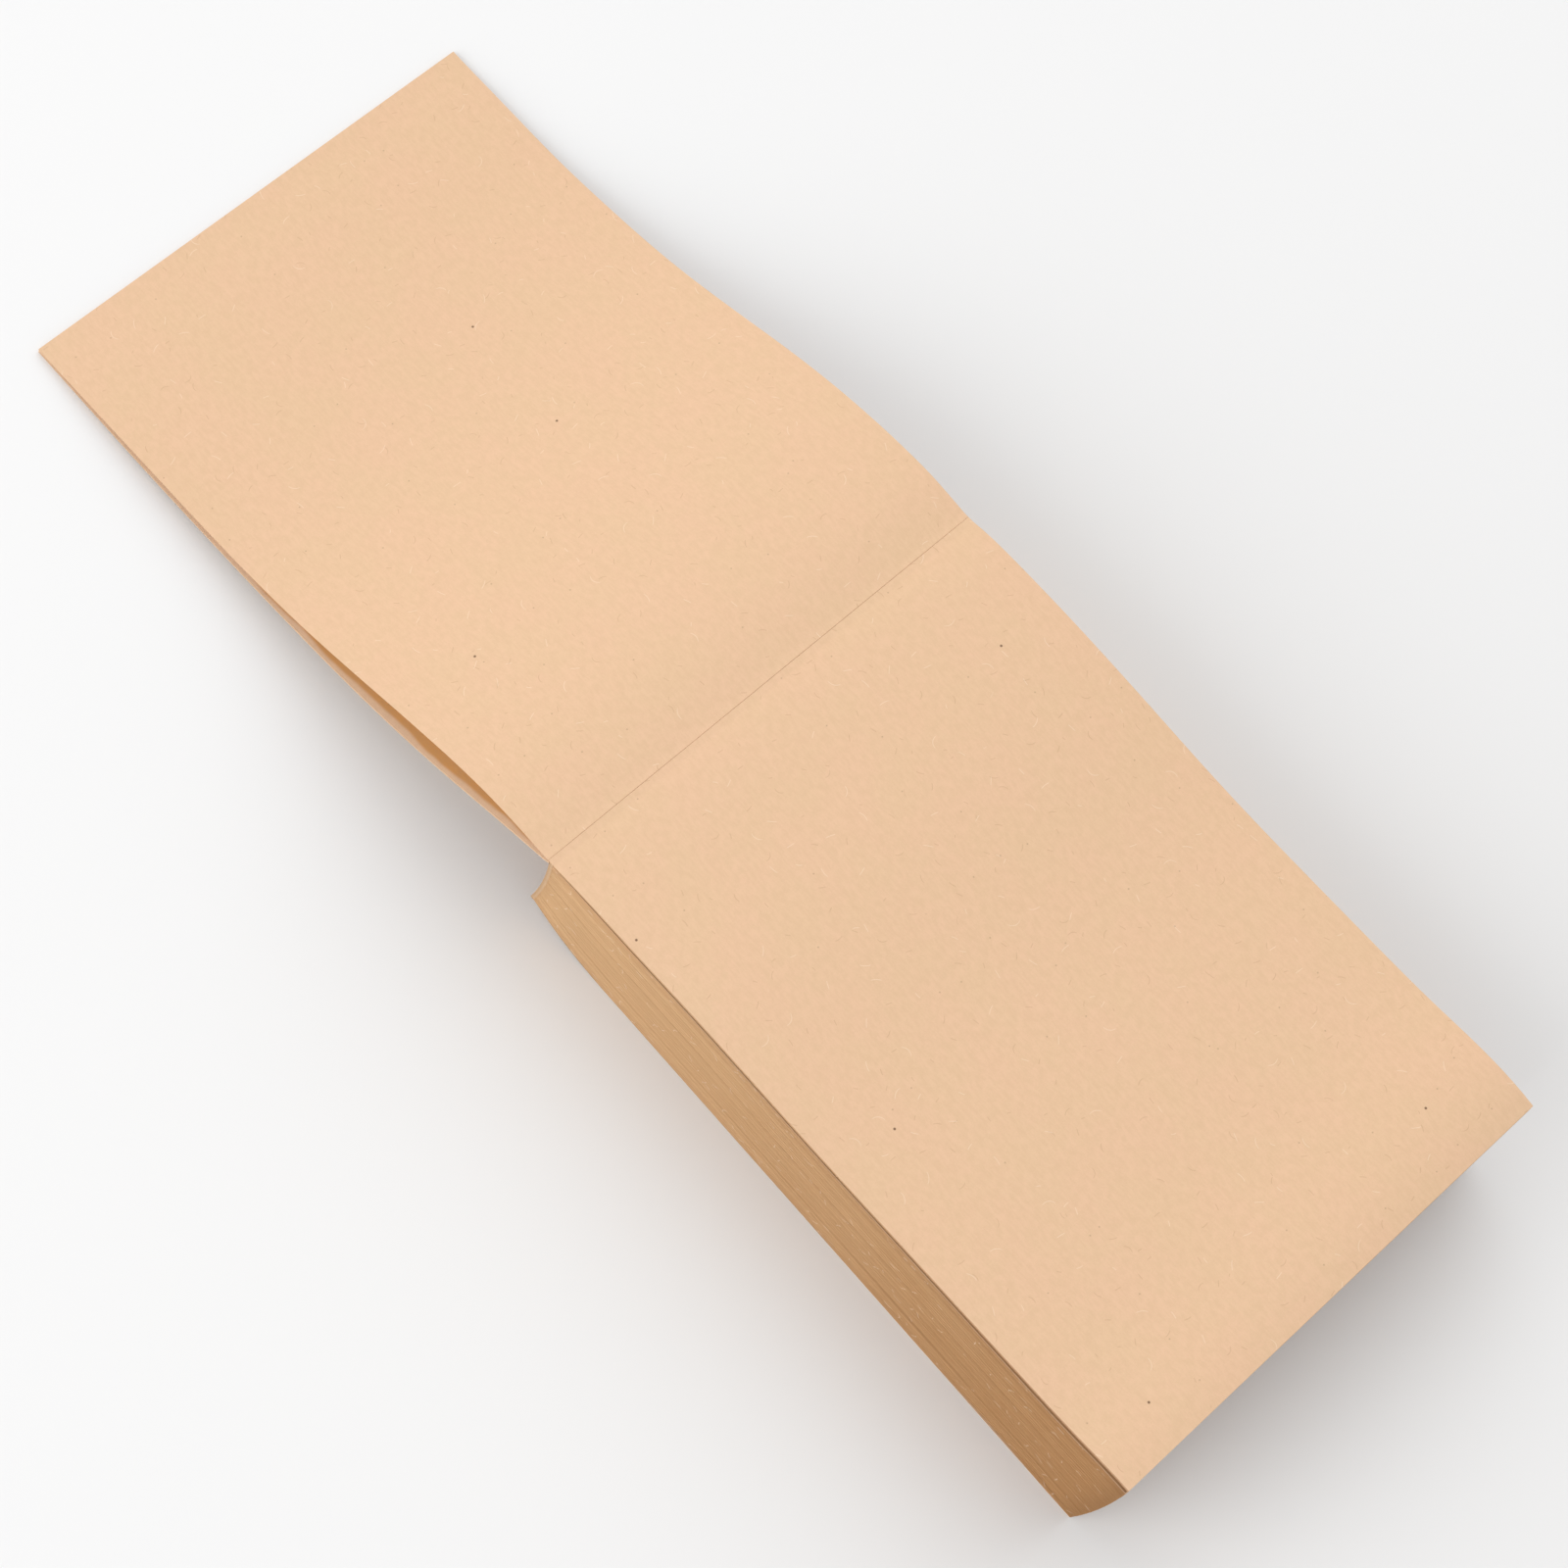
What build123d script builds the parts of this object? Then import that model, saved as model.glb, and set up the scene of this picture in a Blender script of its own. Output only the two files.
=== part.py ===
from build123d import *
import os

os.makedirs("parts", exist_ok=True)

# A thick pocket notebook of kraft paper, glued along one short edge inside a soft kraft wrapper.
# It lies open on its first leaf: the bound edge runs along Y, the unread leaves lie towards +X, and
# the front cover with the first leaf on it has been turned over towards -X and rests on the table.
# The origin is on the table, at the middle of the space that the open notebook covers.

# Driving dimensions, in millimetres
page_width = 74.0  # along the bound edge
page_length = 105.0  # from the bound edge to the fore edge
leaf_thickness = 0.095
cover_thickness = 0.3
glue_thickness = 0.35
turned_reach = 101.5  # how far the turned leaf and the front cover reach from the bound edge

# The block of unread leaves
loose_leaf_count = 6  # leaves that lie free at the opening
group_count = 18  # nodes of leaves that stay shut below them
leaves_per_group = 8
leaf_count = group_count * leaves_per_group + loose_leaf_count
spine_lift = 4.0  # the back cover curls this far off the table at the bound edge
curl_length = 14.0  # and lies flat from here on
fore_edge_bow = 0.8  # the lowest leaf ends this much short of the longest one
bow_peak = 0.62  # share of the stack at which the fore edge stands out furthest
spine_hollow = 0.9  # the glued edge bows in this far
hollow_peak = 0.7  # share of the stack at which it bows in furthest

# Height of the topmost leaf at shares of the page length: squeezed low by the glue, then fanning open
block_top = (
    (0.0, 21.9),
    (0.03, 22.45),
    (0.08, 22.95),
    (0.15, 23.3),
    (0.3, 23.7),
    (0.5, 23.6),
    (0.68, 24.7),
    (0.84, 25.8),
    (0.94, 27.0),
    (1.0, 27.0),
)
gutter_height = block_top[0][1]
spine_height = gutter_height - 0.2  # top of the glue and of the spine panel
glue_foot = spine_lift + cover_thickness

# The turned leaf arches out of the gutter and then sinks to the table
turned_leaf_top = (
    (-1.0, 21.8),
    (-4.0, 21.95),
    (-8.0, 21.95),
    (-12.0, 21.5),
    (-18.0, 20.2),
    (-26.0, 17.6),
    (-36.0, 13.6),
    (-46.0, 9.4),
    (-57.0, 5.9),
    (-70.0, 3.4),
    (-85.0, 1.8),
    (-turned_reach, 0.8),
)

# The front cover is stiffer at its crease and hangs straight down to the table below the leaf
front_cover_top = (
    (-1.0, 20.6),
    (-12.8, 15.2),
    (-24.0, 10.2),
    (-38.0, 6.0),
    (-56.0, 3.0),
    (-78.0, 1.0),
    (-turned_reach, cover_thickness),
)

# Leaves fold about a line that stands above the glued edge, where the paper has room to bend
fold_height = gutter_height + 1.6
free_root = 1.0  # free leaves begin this far from the glue

gutter_x = (turned_reach - page_length) / 2
side_plane = Plane(origin=(gutter_x, 0, 0), x_dir=(1, 0, 0), z_dir=(0, -1, 0))


def glued_edge(share):
    """How far the glued edge stands in from the gutter, at a share of the stack."""
    return spine_hollow * (1 - ((share - hollow_peak) / hollow_peak) ** 2)


def stack_line(share, drop=0.0):
    """Points of the surface at a share of the stack, from 0 on the back cover to 1 on top."""
    start = glued_edge(share)
    reach = page_length - fore_edge_bow * ((share - bow_peak) / bow_peak) ** 2
    points = []
    for along, top in block_top:
        lift = spine_lift * max(0.0, 1 - along * page_length / curl_length) ** 2
        bottom = lift + cover_thickness
        points.append((start + along * (reach - start), bottom + share * (top - bottom) - drop))
    return points


def glue_line(outset):
    """Points up the glued edge, moved out towards the spine panel."""
    rise = gutter_height - glue_foot
    points = []
    for height in (glue_foot, 6.5, 9.0, 12.0, 15.0, 18.0, spine_height):
        points.append((glued_edge((height - glue_foot) / rise) - outset, height))
    return points


def lowered(points, drop):
    """The same points, moved down by one sheet's thickness."""
    return [(x, z - drop) for x, z in points]


# Back panel of the wrapper: flat on the table, curling up to meet the spine panel
back_reach = stack_line(0.0)[-1][0]
with BuildPart() as back_cover:
    with BuildSketch(side_plane):
        with BuildLine():
            upper = Spline(*stack_line(0.0))
            fore_edge = Line(upper @ 1, (back_reach, 0))
            underside = Line(fore_edge @ 1, (curl_length, 0))
            curl = TangentArc(underside @ 1, (0, spine_lift), tangent=(-1, 0))
            Line(curl @ 1, upper @ 0)
        make_face()
    extrude(amount=page_width / 2, both=True)
back_cover.part.label = "back_cover"
export_step(back_cover.part, "parts/back_cover.step")

# Glue that holds the edges of the leaves, between them and the spine panel
with BuildPart() as spine_glue:
    with BuildSketch(side_plane):
        with BuildLine():
            leaf_side = Spline(*glue_line(0))
            panel_side = Spline(*glue_line(glue_thickness))
            Line(leaf_side @ 0, panel_side @ 0)
            Line(leaf_side @ 1, panel_side @ 1)
        make_face()
    extrude(amount=page_width / 2, both=True)
spine_glue.part.label = "spine_glue"
export_step(spine_glue.part, "parts/spine_glue.step")

# Spine panel of the wrapper: rounded where it turns under the block into the back panel
panel_face = glue_thickness + cover_thickness
with BuildPart() as spine_cover:
    with BuildSketch(side_plane):
        with BuildLine():
            inner = Spline(*glue_line(glue_thickness))
            outer = Spline(*glue_line(panel_face))
            Line(inner @ 1, outer @ 1)
            Polyline(inner @ 0, (0, glue_foot), (0, spine_lift))
            corner = TangentArc(outer @ 0, (0, spine_lift), tangent=(outer % 0) * -1)
        make_face()
    extrude(amount=page_width / 2, both=True)
spine_cover.part.label = "spine_cover"
export_step(spine_cover.part, "parts/spine_cover.step")

# Leaves that stay shut: each node holds its leaves as separate sheets with a little air between them
for group in range(group_count):
    with BuildPart() as shut_leaves:
        with BuildSketch(side_plane):
            for leaf in range(leaves_per_group):
                share = (group * leaves_per_group + leaf + 1) / leaf_count
                with BuildLine():
                    upper = Spline(*stack_line(share))
                    lower = Spline(*stack_line(share, drop=leaf_thickness))
                    Line(upper @ 0, lower @ 0)
                    Line(upper @ 1, lower @ 1)
                make_face()
        extrude(amount=page_width / 2, both=True)
    shut_leaves.part.label = f"shut_leaves_{group + 1:02d}"
    export_step(shut_leaves.part, f"parts/{shut_leaves.part.label}.step")

# Loose leaves at the opening, numbered from the top: each turns over on its own fold
for number in range(loose_leaf_count):
    share = (leaf_count - number) / leaf_count
    with BuildPart() as loose_leaf:
        with BuildSketch(side_plane):
            with BuildLine():
                upper = Spline(*stack_line(share))
                lower = Spline(*stack_line(share, drop=leaf_thickness))
                Line(upper @ 0, lower @ 0)
                Line(upper @ 1, lower @ 1)
            make_face()
        extrude(amount=page_width / 2, both=True)
        split(bisect_by=Plane.YZ.offset(gutter_x + free_root), keep=Keep.TOP)
    loose_leaf.part.label = f"loose_leaf_{number + 1}"
    export_step(loose_leaf.part, f"parts/{loose_leaf.part.label}.step")

# First leaf of the notebook, turned over to the left
with BuildPart() as turned_leaf:
    with BuildSketch(side_plane):
        with BuildLine():
            upper = Spline(*turned_leaf_top)
            lower = Spline(*lowered(turned_leaf_top, leaf_thickness))
            Line(upper @ 0, lower @ 0)
            Line(upper @ 1, lower @ 1)
        make_face()
    extrude(amount=page_width / 2, both=True)
turned_leaf.part.label = "turned_leaf"
export_step(turned_leaf.part, "parts/turned_leaf.step")

# Front panel of the wrapper, turned over under that leaf
with BuildPart() as front_cover:
    with BuildSketch(side_plane):
        with BuildLine():
            upper = Spline(*front_cover_top)
            lower = Spline(*lowered(front_cover_top, cover_thickness))
            Line(upper @ 0, lower @ 0)
            Line(upper @ 1, lower @ 1)
        make_face()
    extrude(amount=page_width / 2, both=True)
front_cover.part.label = "front_cover"
export_step(front_cover.part, "parts/front_cover.step")

# The hinge line of every free sheet, for whoever joins the pieces
print("fold line: x", round(gutter_x, 3), "z", round(fold_height, 3))
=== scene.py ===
import math
import random

import bmesh
import bpy
import numpy as np
from mathutils import Matrix, Vector


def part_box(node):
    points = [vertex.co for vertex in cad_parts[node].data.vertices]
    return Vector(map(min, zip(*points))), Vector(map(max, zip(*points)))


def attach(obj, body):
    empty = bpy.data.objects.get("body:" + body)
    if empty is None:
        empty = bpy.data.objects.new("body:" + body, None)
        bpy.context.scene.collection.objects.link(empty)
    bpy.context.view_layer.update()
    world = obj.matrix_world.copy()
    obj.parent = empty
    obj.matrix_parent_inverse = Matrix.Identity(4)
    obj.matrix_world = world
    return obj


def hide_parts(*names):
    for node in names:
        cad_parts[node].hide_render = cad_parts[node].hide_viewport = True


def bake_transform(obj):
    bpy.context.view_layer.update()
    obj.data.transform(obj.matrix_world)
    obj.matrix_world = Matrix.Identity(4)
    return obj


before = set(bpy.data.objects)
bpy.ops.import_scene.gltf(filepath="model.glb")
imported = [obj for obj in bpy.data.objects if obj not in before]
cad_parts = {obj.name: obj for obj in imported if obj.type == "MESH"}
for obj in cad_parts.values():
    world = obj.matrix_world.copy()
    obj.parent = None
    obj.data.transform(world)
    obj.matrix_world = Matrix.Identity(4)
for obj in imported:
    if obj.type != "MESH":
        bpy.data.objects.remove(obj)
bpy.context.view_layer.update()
mm = 0.001
scene = bpy.context.scene

# The notebook lies open: unread leaves towards +X, front cover and first leaf turned over to -X
backLow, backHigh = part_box("back_cover")
gutterX = backLow.x
halfWidth = backHigh.y

cameraLook = {
    "place": (67.6 * mm, -164.3 * mm, 474.5 * mm),
    "turn": 24.8,  # round the table, from the front towards +X
    "tilt": 20.3,  # away from straight down
    "roll": 24.55,
    "lens": 86.86,
    "shift": (0.0606, -0.0297),
}


def setCamera(look):
    camera = bpy.data.objects.new("camera", bpy.data.cameras.new("camera"))
    scene.collection.objects.link(camera)
    turn = Matrix.Rotation(math.radians(look["turn"]), 4, "Z")
    tilt = Matrix.Rotation(math.radians(look["tilt"]), 4, "X")
    roll = Matrix.Rotation(math.radians(look["roll"]), 4, "Z")
    camera.matrix_world = Matrix.Translation(look["place"]) @ turn @ tilt @ roll
    camera.data.lens = look["lens"]
    camera.data.sensor_width = 36
    camera.data.shift_x, camera.data.shift_y = look["shift"]
    camera.data.clip_start, camera.data.clip_end = 0.01, 10
    scene.camera = camera


setCamera(cameraLook)
print("camera set")


class Wire:
    def __init__(self, paint, socket):
        self.paint, self.socket = paint, socket

    def maths(self, operation, first, second):
        return self.paint.add("ShaderNodeMath", {"operation": operation}, {0: first, 1: second})

    def __add__(self, other):
        return self.maths("ADD", self, other)

    def __radd__(self, other):
        return self.maths("ADD", other, self)

    def __sub__(self, other):
        return self.maths("SUBTRACT", self, other)

    def __rsub__(self, other):
        return self.maths("SUBTRACT", other, self)

    def __mul__(self, other):
        return self.maths("MULTIPLY", self, other)

    def __rmul__(self, other):
        return self.maths("MULTIPLY", other, self)

    def __abs__(self):
        return self.maths("ABSOLUTE", self, 0)


class Paint:
    def __init__(self, name):
        self.material = bpy.data.materials.new(name)
        self.material.use_nodes = True
        self.tree = self.material.node_tree
        self.tree.nodes.clear()

    def add(self, kind, settings=None, sockets=None, out=0):
        node = self.tree.nodes.new(kind)
        for key, value in (settings or {}).items():
            setattr(node, key, value)
        for key, value in (sockets or {}).items():
            if isinstance(value, Wire):
                self.tree.links.new(value.socket, node.inputs[key])
            else:
                node.inputs[key].default_value = value
        return Wire(self, node.outputs[out]) if len(node.outputs) else None

    def other(self, wire, out):
        return Wire(self, wire.socket.node.outputs[out])

    def noise(self, where, scale, detail=3.0, rough=0.55):
        return self.add("ShaderNodeTexNoise", {}, {"Vector": where, "Scale": scale, "Detail": detail,
                                                   "Roughness": rough})

    def fade(self, value, start, end):
        return self.add("ShaderNodeMapRange", {"interpolation_type": "SMOOTHSTEP"},
                        {"Value": value, "From Min": start, "From Max": end})

    def blendColour(self, share, first, second):
        # first and second are wires, or plain tones without their alpha
        ends = [tone if isinstance(tone, Wire) else (*tone, 1) for tone in (first, second)]
        sockets = {0: share, 6: ends[0], 7: ends[1]}
        return self.add("ShaderNodeMix", {"data_type": "RGBA"}, sockets, out=2)

    def inMillimetres(self):
        # where a point lies on the piece itself
        where = self.add("ShaderNodeTexCoord", {}, out="Object")
        return self.add("ShaderNodeMapping", {}, {"Vector": where, "Scale": (1 / mm, 1 / mm, 1 / mm)})

    def axis(self, vector, letter):
        return self.add("ShaderNodeSeparateXYZ", {}, {"Vector": vector}, out=letter)

    def bump(self, height, strength, distance):
        sockets = {"Height": height, "Strength": strength, "Distance": distance}
        return self.add("ShaderNodeBump", {}, sockets)

    def finish(self, colour, roughness, normal, **fixed):
        sockets = {"Base Color": colour, "Roughness": roughness, "Normal": normal, **fixed}
        shader = self.add("ShaderNodeBsdfPrincipled", {}, sockets)
        self.add("ShaderNodeOutputMaterial", {}, {"Surface": shader})
        return self.material


kraft = {
    "warm": (0.741, 0.493, 0.321),  # the two tones that drift through the pulp
    "straw": (0.723, 0.497, 0.314),
    "dusk": (0.600, 0.385, 0.235),
    "fleck": (0.110, 0.055, 0.028),
    "lint": (0.900, 0.730, 0.560),
    "darkFibre": (0.400, 0.220, 0.120),
    "grain": (0.28, 1.0, 1.0),  # fibres lie mostly along the leaf
    "drift": (0.11, 3),  # each noise: waves in a millimetre, detail, roughness
    "mottle": (0.8, 4, 0.6),
    "strands": (2.2, 4, 0.6),
    "tooth": (4.5, 3, 0.6),
    "duskShare": 0.30,
}
leafSize = (105, 74, 1)  # millimetres, before it is bound

# cells: how many places a millimetre has for one; share: how many of the places hold one;
# length, width and radius are in millimetres
fibre = {
    "pagePale": {"cells": 0.23, "length": 2.0, "width": 0.075, "bend": 1.1, "share": 0.5},
    "pageDark": {"cells": 0.30, "length": 1.5, "width": 0.08, "bend": 1.4, "share": 0.5},
    "edgePale": {"cells": 0.36, "length": 2.2, "width": 0.10, "bend": 1.2, "share": 0.5},
    "cardPale": {"cells": 0.18, "length": 1.6, "width": 0.08, "bend": 1.1, "share": 0.5},
}
fleck = {
    "pageDot": {"cells": 0.048, "radius": 0.24},
    "pageSpeck": {"cells": 0.14, "radius": 0.16, "share": 0.4},
    "cardDot": {"cells": 0.05, "radius": 0.20, "share": 0.3},
}


def lintMarks(paint, where, cells, length, width, bend, share):
    # short bent fibres: one in some of the cells, each turned its own way
    cell = paint.add("ShaderNodeTexVoronoi", {"voronoi_dimensions": "2D"},
                     {"Vector": where, "Scale": cells, "Randomness": 1.0}, out="Position")
    dice = paint.add("ShaderNodeSeparateColor", {}, {"Color": paint.other(cell, "Color")})
    away = paint.add("ShaderNodeVectorMath", {"operation": "SUBTRACT"}, {0: where, 1: cell})
    turned = paint.add("ShaderNodeVectorRotate", {"rotation_type": "Z_AXIS"},
                       {"Vector": away, "Angle": dice * (2 * math.pi)})
    along, across = paint.axis(turned, "X"), paint.axis(turned, "Y")
    curve = (paint.other(dice, "Green") - 0.5) * bend
    offLine = abs(across - along * along * curve)
    reach = (paint.other(dice, "Green") * 0.7 + 0.3) * length * 0.5
    beside = 1 - paint.fade(offLine, width * 0.3, width)
    beyond = 1 - paint.fade(abs(along), reach * 0.7, reach)
    return beside * beyond * paint.fade(paint.other(dice, "Blue"), 1 - share, 1 - share + 0.02)


def flecks(paint, where, cells, radius, share):
    # dark specks of bark, round and soft at the rim
    near = paint.add("ShaderNodeTexVoronoi", {"voronoi_dimensions": "2D"},
                     {"Vector": where, "Scale": cells, "Randomness": 1.0})
    dice = paint.add("ShaderNodeSeparateColor", {}, {"Color": paint.other(near, "Color")})
    size = radius * cells
    return (1 - paint.fade(near, size * 0.4, size)) * paint.fade(dice, 1 - share, 1 - share + 0.02)


def pulp(paint, flat, depth=1.0):
    # the look of the sheet itself, in millimetres: colour, then the height of its tooth
    drawn = paint.add("ShaderNodeMapping", {}, {"Vector": flat, "Scale": kraft["grain"]})
    drift = paint.noise(flat, *kraft["drift"])
    mottle = paint.noise(flat, *kraft["mottle"])
    strands = paint.noise(drawn, *kraft["strands"])
    tooth = paint.noise(flat, *kraft["tooth"])
    hue = paint.fade(drift * 0.6 + mottle * 0.4, 0.36, 0.64)
    colour = paint.blendColour(hue, kraft["straw"], kraft["warm"])
    shade = paint.fade(mottle * 0.35 + strands * 0.40 + tooth * 0.25, 0.38, 0.62)
    colour = paint.blendColour((1 - shade) * kraft["duskShare"] * depth, colour, kraft["dusk"])
    return colour, strands * 0.5 + tooth * 0.5


page = {
    "dark": 0.30,  # how strongly its fibres and flecks show
    "pale": 0.38,
    "specks": 0.28,
    "dots": 0.85,
    # strength of the painted shade along the near edge of the lower leaves
    "nearShade": 0.9,
    "roughness": 0.84,
    "swing": 0.16,  # how much the tooth changes it
    "relief": 0.05 * mm,
    "shine": 0.25,
    # colour of that painted shade
    "shadeColour": (0.250, 0.118, 0.048),
}


def kraftPage(name, shift, dotShare, shadedEdge=0.0):
    # fibres run along the sheet, so the pattern follows the sheet's own flat layout;
    # the last argument is how many millimetres of its near edge carry painted shade: the dark line in
    # the gap under the leaves lying above it
    paint = Paint(name)
    layout = paint.add("ShaderNodeUVMap", {"uv_map": "UVMap"})
    flat = paint.add("ShaderNodeMapping", {}, {"Vector": layout, "Location": shift, "Scale": leafSize})
    colour, tooth = pulp(paint, flat)
    pale = lintMarks(paint, flat, **fibre["pagePale"])
    dark = lintMarks(paint, flat, **fibre["pageDark"])
    dots = flecks(paint, flat, **fleck["pageDot"], share=dotShare)
    specks = flecks(paint, flat, **fleck["pageSpeck"])
    colour = paint.blendColour(dark * page["dark"], colour, kraft["darkFibre"])
    colour = paint.blendColour(pale * page["pale"], colour, kraft["lint"])
    colour = paint.blendColour(specks * page["specks"], colour, kraft["fleck"])
    colour = paint.blendColour(dots * page["dots"], colour, kraft["fleck"])
    # painted shade: a dark band along the near edge, standing in for the shadow in the gap under the
    # leaves above
    if shadedEdge:
        across = paint.add("ShaderNodeMath", {"operation": "FRACT"}, {0: paint.axis(layout, "Y")})
        nearShade = paint.fade(0.5 - across, 0.5 - shadedEdge / leafSize[1], 0.5)
        colour = paint.blendColour(nearShade * page["nearShade"], colour, page["shadeColour"])
    relief = paint.bump(tooth + pale * 0.4, 0.30, page["relief"])
    roughness = page["roughness"] + (tooth - 0.5) * page["swing"]
    return paint.finish(colour, roughness, relief, **{"Specular IOR Level": page["shine"]})


cutEdge = {
    "spine": (0.705, 0.450, 0.240),
    "fore": (0.480, 0.252, 0.105),  # browner and darker towards the fore-edge
    "shade": (0.400, 0.200, 0.085),
    "towardsFore": (-5.0, 120.0),  # x in millimetres where the one turns into the other
    "cloudy": 40,  # and how far that wanders
    "layer": (5.0, 27.0, 1.0),  # each leaf has its own tone, which drifts along it
    "streak": (1.0, 2, 0.5),
    "clouds": (0.12, 3),
    "mottle": (0.7, 4, 0.6),
    "tooth": (5.0, 3, 0.6),
    "dusk": 0.12,
    "pale": 0.55,
    "roughness": 0.86,
    "swing": 0.14,
    "relief": 0.04 * mm,
    "shine": 0.2,
}


def kraftEdge(name):
    # cut edges of the leaves: the lint lies flat on whichever side of the block it is on
    paint = Paint(name)
    layout = paint.add("ShaderNodeUVMap", {"uv_map": "UVMap"})
    leaf = paint.add("ShaderNodeMapping", {}, {"Vector": layout, "Scale": cutEdge["layer"]})
    streak = paint.noise(leaf, *cutEdge["streak"])
    small = paint.inMillimetres()
    x, y, z = (paint.axis(small, letter) for letter in "XYZ")
    face = paint.add("ShaderNodeCombineXYZ", {}, {"X": x + y, "Y": z})
    clouds = paint.noise(small, *cutEdge["clouds"])
    mottle = paint.noise(small, *cutEdge["mottle"])
    tooth = paint.noise(small, *cutEdge["tooth"])
    towardsFore = paint.fade(x + (clouds - 0.5) * cutEdge["cloudy"], *cutEdge["towardsFore"])
    colour = paint.blendColour(towardsFore, cutEdge["spine"], cutEdge["fore"])
    shade = paint.fade(clouds * 0.45 + streak * 0.15 + mottle * 0.20 + tooth * 0.20, 0.36, 0.64)
    colour = paint.blendColour((1 - shade) * cutEdge["dusk"], colour, cutEdge["shade"])
    pale = lintMarks(paint, face, **fibre["edgePale"])
    colour = paint.blendColour(pale * cutEdge["pale"], colour, kraft["lint"])
    relief = paint.bump(tooth * 0.8 + mottle * 0.2, 0.25, cutEdge["relief"])
    roughness = cutEdge["roughness"] + (tooth - 0.5) * cutEdge["swing"]
    return paint.finish(colour, roughness, relief, **{"Specular IOR Level": cutEdge["shine"]})


card = {
    "depth": 1.6,  # its mottling against a leaf's
    "pale": 0.4,
    "dots": 0.8,
    "roughness": 0.82,
    "swing": 0.16,
    "relief": 0.07 * mm,
    "shine": 0.3,
    "cutEnd": (0.500, 0.315, 0.175),
}


def kraftCard(name, cutTone=None):
    # wrapper: the same pulp on a heavier sheet, which may be browner on its cut long edges
    paint = Paint(name)
    small = paint.inMillimetres()
    colour, tooth = pulp(paint, small, card["depth"])
    pale = lintMarks(paint, small, **fibre["cardPale"])
    dots = flecks(paint, small, **fleck["cardDot"])
    colour = paint.blendColour(pale * card["pale"], colour, kraft["lint"])
    colour = paint.blendColour(dots * card["dots"], colour, kraft["fleck"])
    if cutTone:
        rim = halfWidth / mm
        atEnd = paint.fade(abs(paint.axis(small, "Y")), rim - 0.04, rim - 0.01)
        colour = paint.blendColour(atEnd, colour, cutTone)
    relief = paint.bump(tooth, 0.4, card["relief"])
    roughness = card["roughness"] + (tooth - 0.5) * card["swing"]
    return paint.finish(colour, roughness, relief, **{"Specular IOR Level": card["shine"]})


cardInside = {
    "shadedUnderLeaf": (0.740, 0.385, 0.130),  # painted shade: darker and more orange where the turned leaf shades this face and light comes through the leaf
    # painted light: lighter near the long edges, where the face lies outside the leaf's shade
    "rim": (0.900, 0.640, 0.430),
    "rimWidth": 0.8,  # millimetres in from the long edges
    "rimBlur": 0.3,
    "rimWander": 1.2,
    "wander": (0.12, 2),
    "mottle": (0.7, 4, 0.6),
    "dusk": 0.2,
    "pale": 0.35,
    "roughness": 0.84,
    "swing": 0.16,
    "relief": 0.06 * mm,
}


def kraftInside(name):
    paint = Paint(name)
    small = paint.inMillimetres()
    mottle = paint.noise(small, *cardInside["mottle"])
    tooth = paint.noise(small, *kraft["tooth"])
    wander = (paint.noise(small, *cardInside["wander"]) - 0.5) * cardInside["rimWander"]
    inner, blur = halfWidth / mm - cardInside["rimWidth"], cardInside["rimBlur"]
    # painted light near the long edges, painted shade further in under the leaf
    rim = paint.fade(abs(paint.axis(small, "Y")) + wander, inner - blur, inner + blur)
    colour = paint.blendColour(rim, cardInside["shadedUnderLeaf"], cardInside["rim"])
    shade = paint.fade(mottle * 0.5 + tooth * 0.5, 0.38, 0.62)
    colour = paint.blendColour((1 - shade) * cardInside["dusk"], colour, kraft["dusk"])
    pale = lintMarks(paint, small, **fibre["cardPale"])
    colour = paint.blendColour(pale * cardInside["pale"], colour, kraft["lint"])
    roughness = cardInside["roughness"] + (tooth - 0.5) * cardInside["swing"]
    return paint.finish(colour, roughness, paint.bump(tooth, 0.35, cardInside["relief"]))


glue = {
    "thin": (0.500, 0.315, 0.170),
    "thick": (0.600, 0.380, 0.210),
    "ripple": (0.8, 3),
    "roughness": 0.55,
    "swing": 0.2,
    "relief": 0.1 * mm,
}


def driedGlue(name):
    paint = Paint(name)
    small = paint.inMillimetres()
    ripple = paint.noise(small, *glue["ripple"])
    colour = paint.blendColour(ripple, glue["thin"], glue["thick"])
    roughness = glue["roughness"] + ripple * glue["swing"]
    return paint.finish(colour, roughness, paint.bump(ripple, 0.5, glue["relief"]))


paints = {
    "turned": kraftPage("turnedLeafPaper", (13.0, 4.0, 0.0), 0.12),
    "loose": kraftPage("looseLeafPaper", (211.0, 95.0, 0.0), 0.36),
    # the lower loose leaves carry painted shade along their near edge
    "lower": kraftPage("lowerLeafPaperShadedEdge", (57.0, 181.0, 0.0), 0.36, shadedEdge=0.9),
    "edge": kraftEdge("leafEdges"),
    "card": kraftCard("wrapperCard"),
    "spineCard": kraftCard("spineCard", card["cutEnd"]),
    "inside": kraftInside("wrapperInside"),
    "glue": driedGlue("driedGlue"),
}
print("papers mixed")


def smoothThrough(points):
    # a smooth curve through a few points
    xs, ys = (np.array(column, float) for column in zip(*points))
    slopes = np.gradient(ys, xs)

    def at(x):
        i = int(np.clip(np.searchsorted(xs, x) - 1, 0, len(xs) - 2))
        span = xs[i + 1] - xs[i]
        t = min(max((x - xs[i]) / span, 0.0), 1.0)
        a, b = 2 * t**3 - 3 * t**2 + 1, t**3 - 2 * t**2 + t
        c, d = 1 - a, t**3 - t**2
        return float(a * ys[i] + b * span * slopes[i] + c * ys[i + 1] + d * span * slopes[i + 1])

    return at


def fadeIn(x, start, end):
    t = min(max((x - start) / (end - start), 0.0), 1.0)
    return t * t * (3 - 2 * t)


def middleOf(node, degree=9):
    # the curve down the middle of one of the frame's sheets, seen from the side
    points = np.array([v.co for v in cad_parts[node].data.vertices])
    return np.polynomial.Polynomial.fit(points[:, 0], points[:, 2], degree)


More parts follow.
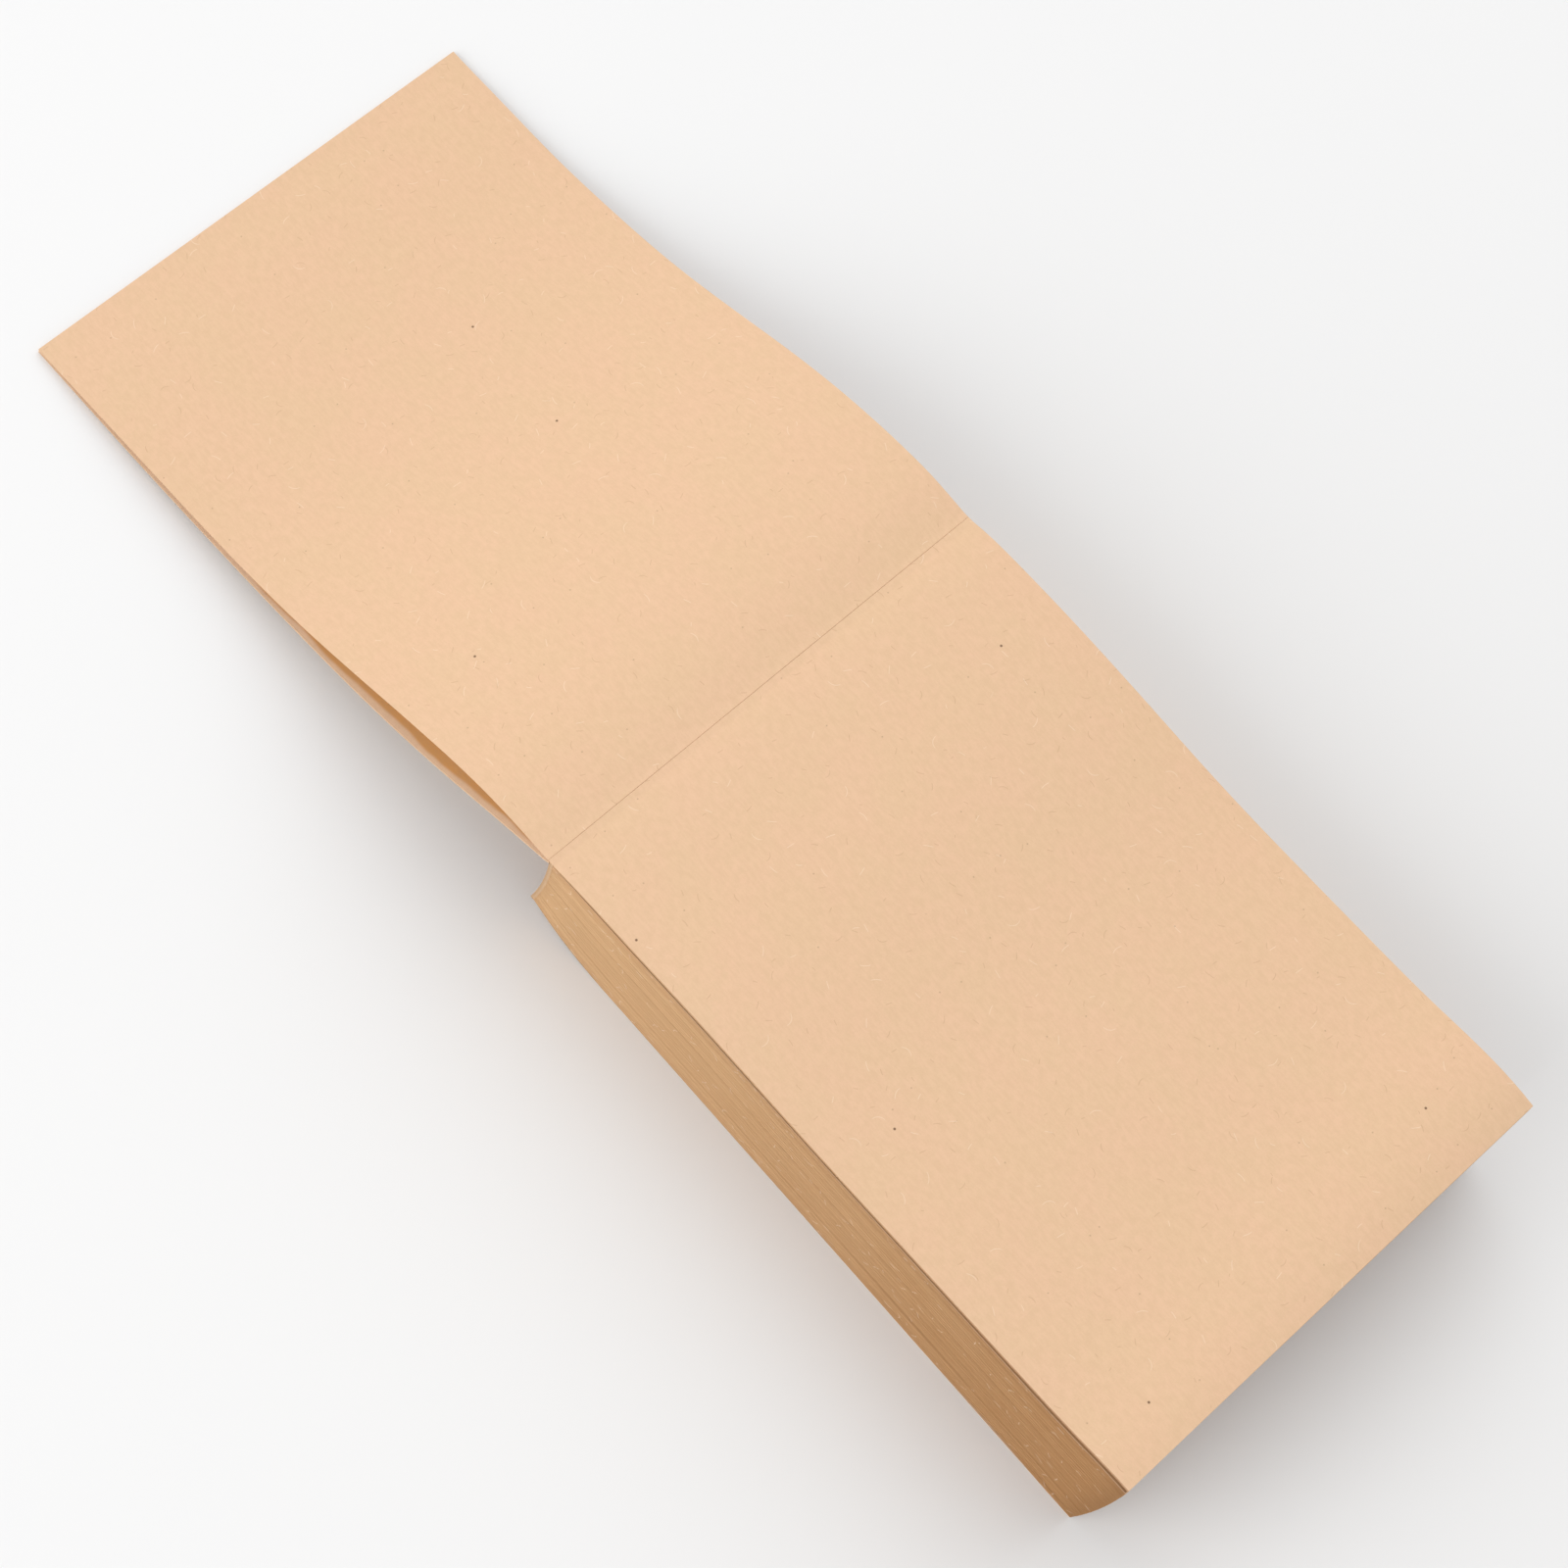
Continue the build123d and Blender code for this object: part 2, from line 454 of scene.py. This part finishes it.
def addSheet(mesh, cells, place, crowd=1.0, layer=0, slot=0):
    # one sheet of paper from a flat grid: place says where a share along and across it goes, crowd
    # draws the rows towards the bound edge, layer sets its pattern apart, slot is its faces' material
    pattern = mesh.loops.layers.uv.get("UVMap") or mesh.loops.layers.uv.new("UVMap")
    made = bmesh.ops.create_grid(mesh, x_segments=cells[0], y_segments=cells[1], size=0.5)
    for vert in made["verts"]:
        along, across = (vert.co.x + 0.5) ** crowd, vert.co.y + 0.5
        vert.co = place(along, across)
        for loop in vert.link_loops:
            loop[pattern].uv = (along, across + layer)
            loop.face.material_index = slot


def sheetPiece(name, mesh, thickness, material, rim=None):
    for edge in mesh.edges:
        edge.smooth = not edge.is_boundary  # cut edges are square
    for face in mesh.faces:
        face.smooth = True
    data = bpy.data.meshes.new(name)
    mesh.to_mesh(data)
    mesh.free()
    piece = bpy.data.objects.new(name, data)
    scene.collection.objects.link(piece)
    data.materials.append(material)
    wall = piece.modifiers.new("thickness", "SOLIDIFY")
    wall.thickness, wall.offset, wall.use_even_offset = thickness, -1, True
    if rim:
        data.materials.append(rim)
        wall.material_offset_rim = 1
    return piece


paper = {
    "thickness": 0.095 * mm,
    "cells": (110, 40),
    "crowd": 2.0,
    "bendLength": 6.0 * mm,  # a leaf bends within this much of the glue
    "crack": -0.10 * mm,  # where the two open leaves meet, from the middle of the gutter
    "shoulder": 0.08 * mm,  # radius at which they turn down into it
    "wander": ((0.3, 11, 1), (0.25, 29, 2), (0.2, 53, 0)),  # and its unevenness: size, waves, start
    "sink": 0.08 * mm,
    "closedEnd": 1.6 * mm,  # the crack closes up towards the long edges
    "clear": 0.006 * mm,  # from its middle to either leaf
    "trim": 0.4 * mm,  # the turned sheets end this much short of the frame's
}
crackX = gutterX + paper["crack"]


def shoulder(distance, side):
    # how far a leaf has turned down into the gutter at this distance from it
    wander = 1
    for size, waves, start in paper["wander"]:
        wander += size * math.sin(waves * side + start)
    radius = paper["shoulder"] * max(0.3, wander)
    near = max(0.0, 1 - distance / radius)
    opened = fadeIn(halfWidth * (1 - abs(side)), 0.0, paper["closedEnd"])
    return paper["sink"] * (0.15 + 0.85 * opened) * (1 - math.sqrt(1 - near * near))


# far edge of the open page against its near edge, by share of the page's length, in millimetres
pageWave = smoothThrough([(0, 0.05), (0.04, 0.30), (0.12, 0.45), (0.3, -0.15), (0.48, -0.7),
                          (0.65, -0.75), (0.8, -0.5), (0.92, -0.05), (1, -0.7)])
loose = {
    "count": 6,
    "lift": (0.36, 0.27, 0.05, 0.04, 0.02, 0.0),  # near edges stand clear of the block, in millimetres
    "cornerLift": (0.45, 0.26, 0.16, 0.04, 0.0, 0.0),  # and more at the corner
    "liftFrom": (0.0, 0.12),  # shares of the length over which that sets in
    "cornerFrom": (0.45, 1.0),
    "slip": (0.0, 0.02, -0.34, -0.26, -0.14, -0.06),  # how far each leaf's cut edges stand out
    "tuck": 0.15 * mm,  # the lower ones reach this much further in than the frame's
    "dip": 0.03,  # how steeply a leaf runs down from there into the gutter
}


def looseLeaf(index):
    node = f"loose_leaf_{index + 1}"
    low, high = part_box(node)
    middle = middleOf(node)
    start = crackX + paper["clear"] if index == 0 else low.x - loose["tuck"]
    reach = high.x - start
    slip = loose["slip"][index] * mm

    def place(along, across):
        x = start + along * reach
        side = 2 * across - 1
        inner = max(x, low.x)
        rise = middle(inner) + paper["thickness"] / 2 - (inner - x) * loose["dip"]
        rise += side * pageWave(along) * mm
        nearEdge = (1 - across) ** 2 * fadeIn(along, *loose["liftFrom"])
        rise += loose["lift"][index] * mm * nearEdge
        corner = loose["cornerLift"][index] * mm * (1 - across) ** 3
        rise += corner * fadeIn(along, *loose["cornerFrom"])
        if index == 0:
            rise -= shoulder(x - start, side)
        return Vector((x + slip * along, side * (halfWidth + slip), rise))

    mesh = bmesh.new()
    addSheet(mesh, paper["cells"], place, paper["crowd"], layer=3 * index)
    leaf = sheetPiece(f"looseLeaf_{index + 1}", mesh, paper["thickness"],
                      paints["lower" if index > 1 else "loose"], paints["edge"])
    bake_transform(leaf)
    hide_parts(node)


for number in range(loose["count"]):
    looseLeaf(number)
print("loose leaves laid")

# the turned leaf: far edge against near edge, by share of its length, in millimetres
turnedWave = smoothThrough([(0, 0.05), (0.04, 0.20), (0.07, 0.35), (0.12, 0.45), (0.17, 0.7),
                            (0.25, 1.2), (0.34, 1.5), (0.45, 1.3), (0.56, 0.65), (0.68, 0.0),
                            (0.77, -0.4), (0.88, -0.3), (1, -0.1)])


def turnedLeaf():
    low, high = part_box("turned_leaf")
    middle = middleOf("turned_leaf", 10)
    start = crackX - paper["clear"]
    reach = start - low.x - paper["trim"]

    def place(along, across):
        x = start - along * reach
        side = 2 * across - 1
        inner = min(x, high.x)
        rise = middle(inner) + paper["thickness"] / 2 + (x - inner) * 0.05
        rise += side * turnedWave(along) * mm - shoulder(start - x, side)
        return Vector((x, side * halfWidth, rise))

    mesh = bmesh.new()
    addSheet(mesh, paper["cells"], place, paper["crowd"])
    bmesh.ops.reverse_faces(mesh, faces=mesh.faces[:])
    leaf = sheetPiece("turnedLeaf", mesh, paper["thickness"], paints["turned"])
    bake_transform(leaf)
    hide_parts("turned_leaf")


turnedLeaf()
print("turned leaf laid")

wrapper = {
    "thickness": 0.3 * mm,
    "cells": (120, 18),
    "crowd": 2.2,
    "crease": 0.35 * mm,  # below the top of the spine panel
    "inset": 0.05 * mm,  # and this far in from its outer face
    "bendLength": 4.0 * mm,
}


def frontCover():
    low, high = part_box("front_cover")
    panel = np.array([v.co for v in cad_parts["spine_cover"].data.vertices])
    panelTop = panel[:, 2].max()
    startX = panel[panel[:, 2] > panelTop - 0.1 * mm, 0].min() + wrapper["inset"]
    startZ = panelTop - wrapper["crease"]
    middle = middleOf("front_cover")
    reach = startX - low.x - paper["trim"]

    def place(along, across):
        x = startX - along * reach
        side = 2 * across - 1
        rise = middle(min(x, high.x)) + wrapper["thickness"] / 2
        if x > high.x:
            part = (x - high.x) / (startX - high.x)
            rise += (startZ - rise) * part
        return Vector((x, side * halfWidth, rise))

    mesh = bmesh.new()
    addSheet(mesh, wrapper["cells"], place, wrapper["crowd"])
    bmesh.ops.reverse_faces(mesh, faces=mesh.faces[:])
    cover = sheetPiece("frontCover", mesh, wrapper["thickness"], paints["inside"], paints["card"])
    cover.modifiers["thickness"].material_offset = 1
    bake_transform(cover)
    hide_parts("front_cover")


frontCover()
for node, paint in (("back_cover", "spineCard"), ("spine_cover", "spineCard"), ("spine_glue", "glue")):
    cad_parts[node].data.materials.clear()
    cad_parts[node].data.materials.append(paints[paint])
print("wrapper made")

shut = {
    "nodes": 18,
    "perNode": 8,
    "cells": (24, 1),
    "seed": 11,
    "unevenness": 0.25,  # how much the air between neighbours differs
    "slip": 0.03 * mm,
}


def shutLeaves():
    dice = random.Random(shut["seed"])
    perNode, count = shut["perNode"], shut["nodes"] * shut["perNode"]
    names = [f"shut_leaves_{i + 1:02d}" for i in range(shut["nodes"])]
    middles = [middleOf(name) for name in names]
    centres = [(i + 0.5) * perNode for i in range(shut["nodes"])]
    glued = np.polynomial.Polynomial.fit(centres, [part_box(name)[0].x for name in names], 3)
    cut = np.polynomial.Polynomial.fit(centres, [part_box(name)[1].x for name in names], 3)
    airs = np.array([1 + shut["unevenness"] * dice.uniform(-1, 1) for leaf in range(count)])
    drift = np.cumsum(airs / airs.mean() - 1)

    def pitch(x):
        return (middles[-1](x) - middles[0](x)) / (perNode * (shut["nodes"] - 1))

    tight = pitch(gutterX + 2 * mm)
    for group, name in enumerate(names):
        mesh = bmesh.new()
        for leaf in range(perNode):
            number = group * perNode + leaf
            slipX, slipY = (dice.uniform(-1, 1) * shut["slip"] for axis in "xy")
            share = (number + 1) / count
            startX, endX = glued(number + 0.5), cut(number + 0.5) + slipX

            def place(along, across):
                x = startX + along * (endX - startX)
                side = 2 * across - 1
                gap = pitch(x)
                rise = middles[group](x) + (leaf - (perNode - 1) / 2) * gap
                rise += drift[number] * max(0.0, gap - tight) + paper["thickness"] / 2
                rise += side * pageWave(along) * mm * share**3
                return Vector((x, side * halfWidth + slipY, rise))

            # only the topmost sheet ever shows its face openly and gets the page paint; the faces below
            # take the darker edge paint, painted shade for the gaps between the leaves
            addSheet(mesh, shut["cells"], place, layer=7 * number, slot=0 if number + 1 == count else 1)
        block = sheetPiece(name.replace("shut_leaves", "shutLeaves"), mesh, paper["thickness"],
                           paints["loose"], paints["edge"])
        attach(block, "block")
        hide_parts(name)


shutLeaves()
print("shut leaves stacked")

studio = {
    "table": (0.80, 0.80, 0.80),
    "tableSize": 3.0,
    "tableGrain": (40.0, 2),
    "tableRoughness": 0.75,
    "ambient": 0.57,
    "lamps": [
        ("keyLamp", (-0.40, 0.65, 1.1), 1.9, 12.3),  # name, place, size, power
        ("frontLamp", (-0.3, -1.0, 0.6), 1.1, 9.0),
    ],
}


def setStudio(look):
    scene.view_settings.view_transform = "Standard"
    mesh = bmesh.new()
    bmesh.ops.create_grid(mesh, x_segments=2, y_segments=2, size=look["tableSize"])
    data = bpy.data.meshes.new("table")
    mesh.to_mesh(data)
    mesh.free()
    table = bpy.data.objects.new("table", data)
    scene.collection.objects.link(table)
    paint = Paint("paleTable")
    where = paint.add("ShaderNodeTexCoord", {}, out="Object")
    grain = paint.noise(where, *look["tableGrain"])
    relief = paint.bump(grain, 0.02, 0.1 * mm)
    roughness = look["tableRoughness"] + grain * 0.1
    data.materials.append(paint.finish((*look["table"], 1), roughness, relief))
    world = bpy.data.worlds.new("studio")
    world.use_nodes = True
    world.node_tree.nodes["Background"].inputs["Color"].default_value = (1, 1, 1, 1)
    world.node_tree.nodes["Background"].inputs["Strength"].default_value = look["ambient"]
    scene.world = world
    for name, place, size, power in look["lamps"]:
        lamp = bpy.data.lights.new(name, "AREA")
        lamp.size, lamp.energy = size, power
        holder = bpy.data.objects.new(name, lamp)
        holder.location = place
        holder.rotation_mode = "QUATERNION"
        holder.rotation_quaternion = (-Vector(place)).to_track_quat("-Z", "Y")
        scene.collection.objects.link(holder)


setStudio(studio)
print("table and light set")
